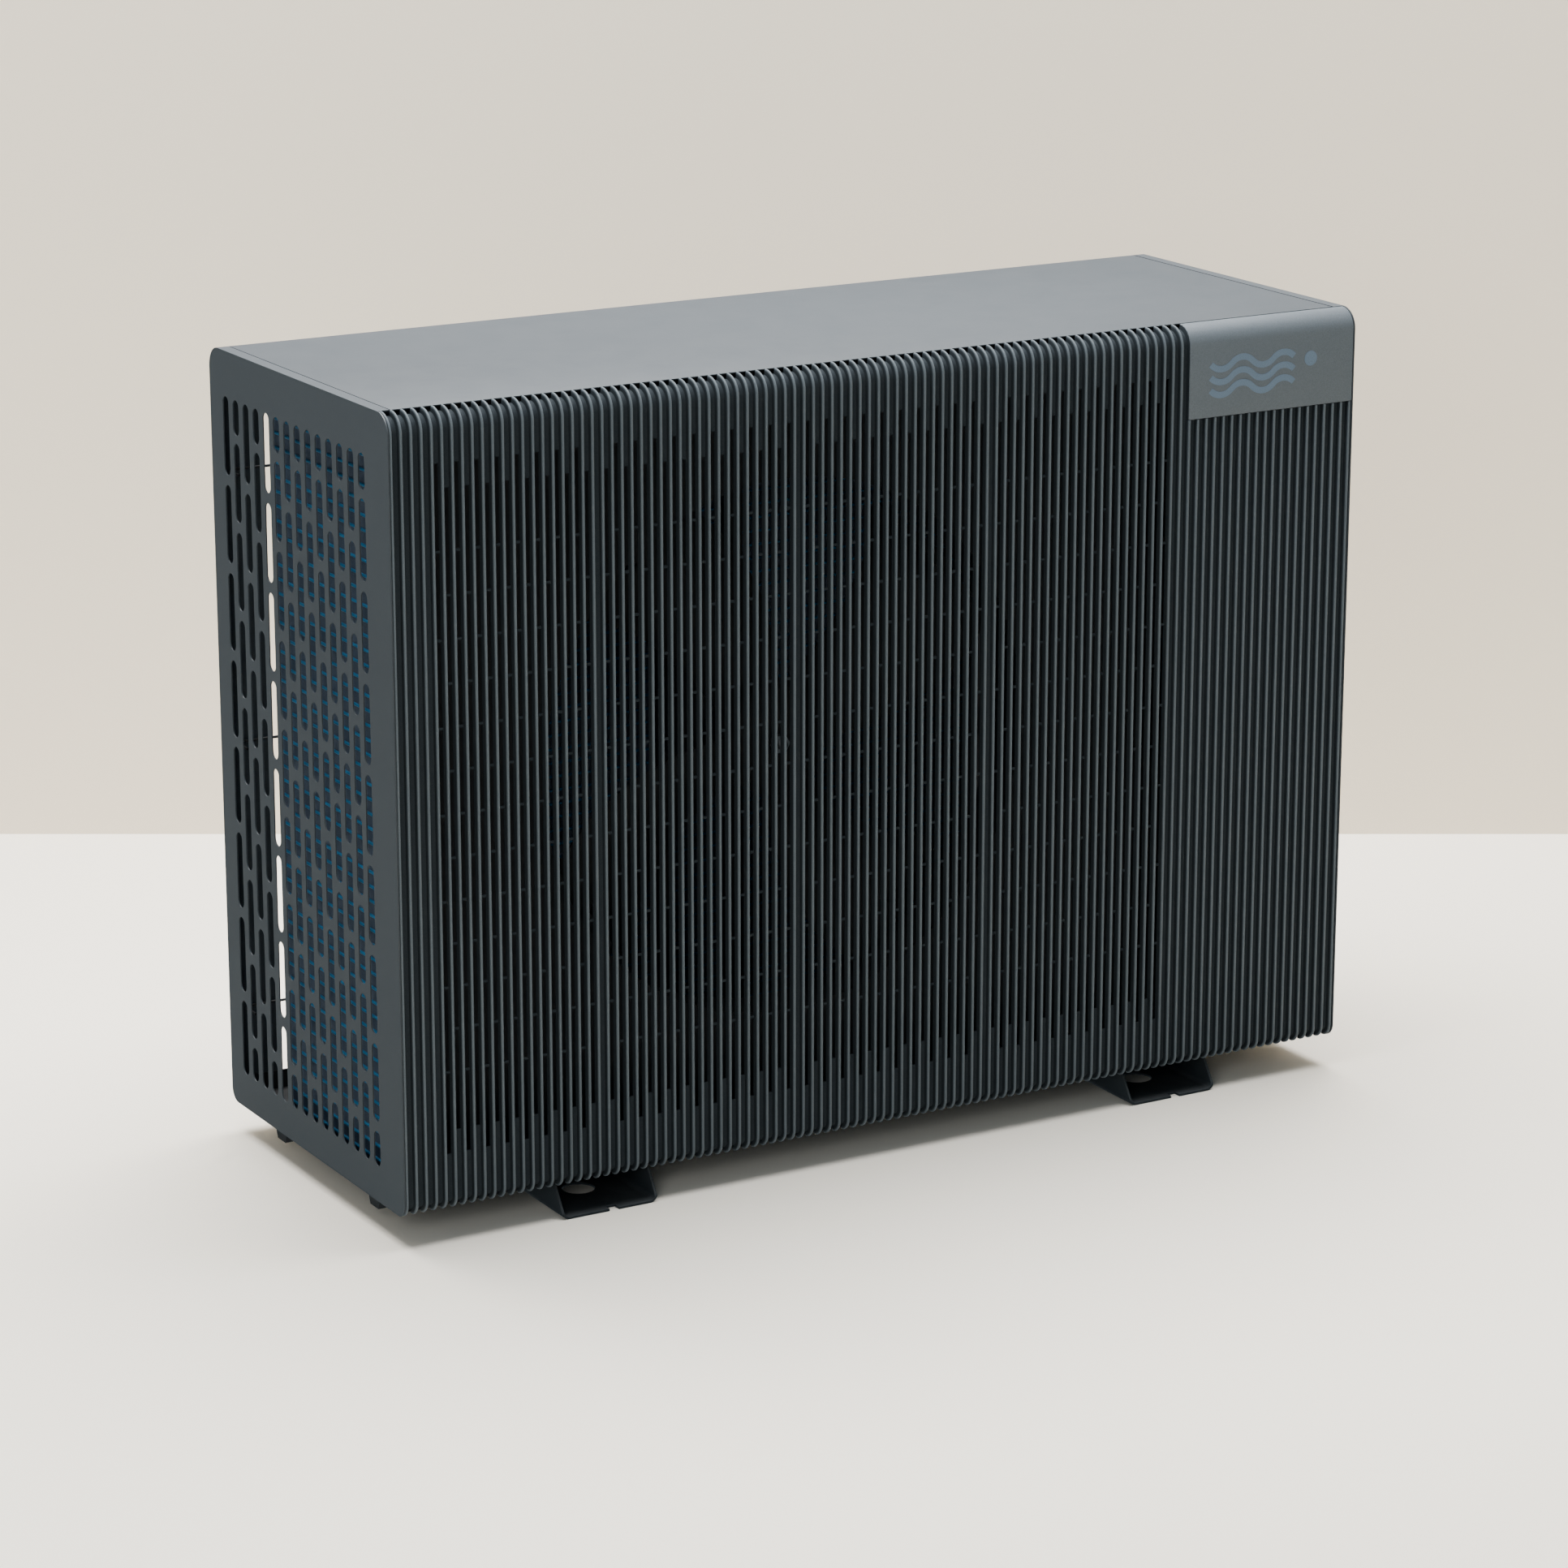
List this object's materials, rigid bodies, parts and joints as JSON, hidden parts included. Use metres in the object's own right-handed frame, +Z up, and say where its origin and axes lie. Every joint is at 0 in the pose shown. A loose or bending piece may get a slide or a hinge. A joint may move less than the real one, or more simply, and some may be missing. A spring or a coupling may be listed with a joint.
{
  "type": "pool heat pump unit",
  "caption": "Side-discharge pool heat pump in a low slotted sheet casing on two feet, with a ribbed front, fan, finned coils, compressor and water unions.",
  "frame": {"origin": "middle of the bounding box at the undersides of the feet", "axes": "+X along the width, to the right seen from the ribbed front; +Y from the front to the rear; +Z up"},
  "size_m": [1.2128, 0.489, 0.896],
  "materials": {
    "casing": "fine-textured powder coat",
    "front_panel": "fine-textured powder coat",
    "name_plate": "satin powder coat",
    "badge": "satin",
    "galvanised": "galvanised sheet",
    "feet": "powder coat",
    "coil": "blue coated fins",
    "copper": "drawn copper",
    "black_steel": "baked enamel",
    "black_plastic": "moulded",
    "motor": "satin",
    "grey_plastic": "moulded",
    "steel": "zinc plated",
    "rubber": "matte",
    "board": "solder mask",
    "aluminium": "extruded",
    "brass": "turned"
  },
  "bodies": {
    "casing": {"accumulator": "black_steel", "badge": "badge", "base_pan": "black_steel", "cable_gland_1": "black_plastic", "cable_gland_2": "black_plastic", "coil_bend_1": "copper", "coil_bend_2": "copper", "coil_bend_3": "copper", "coil_bend_4": "copper", "coil_plate": "galvanised", "compressor": "black_steel", "control_board": "board", "cover_screw_1": "steel", "cover_screw_2": "steel", "discharge_pipe": "copper", "drain_spout": "black_plastic", "electrical_box": "galvanised", "electrical_lid": "galvanised", "exchanger_stand": "galvanised", "expansion_valve": "brass", "fan_motor": "motor", "fan_shroud": "black_steel", "filter_drier": "copper", "foot_left": "feet", "foot_right": "feet", "front_panel": "front_panel", "grommet_1": "rubber", "grommet_2": "rubber", "grommet_3": "rubber", "heat_exchanger": "black_plastic", "heat_sink": "aluminium", "hot_gas_pipe": "copper", "left_panel": "casing", "liquid_pipe": "copper", "motor_bracket": "black_steel", "name_plate": "name_plate", "partition": "black_steel", "rear_coil": "coil", "rear_guard": "black_steel", "rear_panel": "casing", "rear_screw_1": "steel", "rear_screw_2": "steel", "rear_screw_3": "steel", "rear_screw_4": "steel", "reversing_valve": "brass", "right_panel": "casing", "service_cover": "casing", "side_coil": "coil", "suction_pipe": "copper", "terminal_block": "grey_plastic", "terminal_cover": "grey_plastic", "top_cover": "casing", "valve_coil": "black_plastic", "water_inlet": "grey_plastic", "water_outlet": "grey_plastic"},
    "fan_rotor": {"fan": "black_plastic", "fan_nut": "steel", "motor_shaft": "steel"},
    "inlet_nut": {"union_nut_inlet": "grey_plastic"},
    "outlet_nut": {"union_nut_outlet": "grey_plastic"}
  },
  "joints": [
    {"name": "fan_spin", "type": "hinge", "parent": "casing", "child": "fan_rotor", "pos_m": [-0.1064, -0.1595, 0.468], "axis": [0, 1, 0], "continuous": true},
    {"name": "inlet_nut_turn", "type": "hinge", "parent": "casing", "child": "inlet_nut", "pos_m": [0.4491, 0.2025, 0.1453], "axis": [0, 1, 0], "continuous": true},
    {"name": "outlet_nut_turn", "type": "hinge", "parent": "casing", "child": "outlet_nut", "pos_m": [0.4491, 0.2025, 0.4853], "axis": [0, 1, 0], "continuous": true}
  ]
}
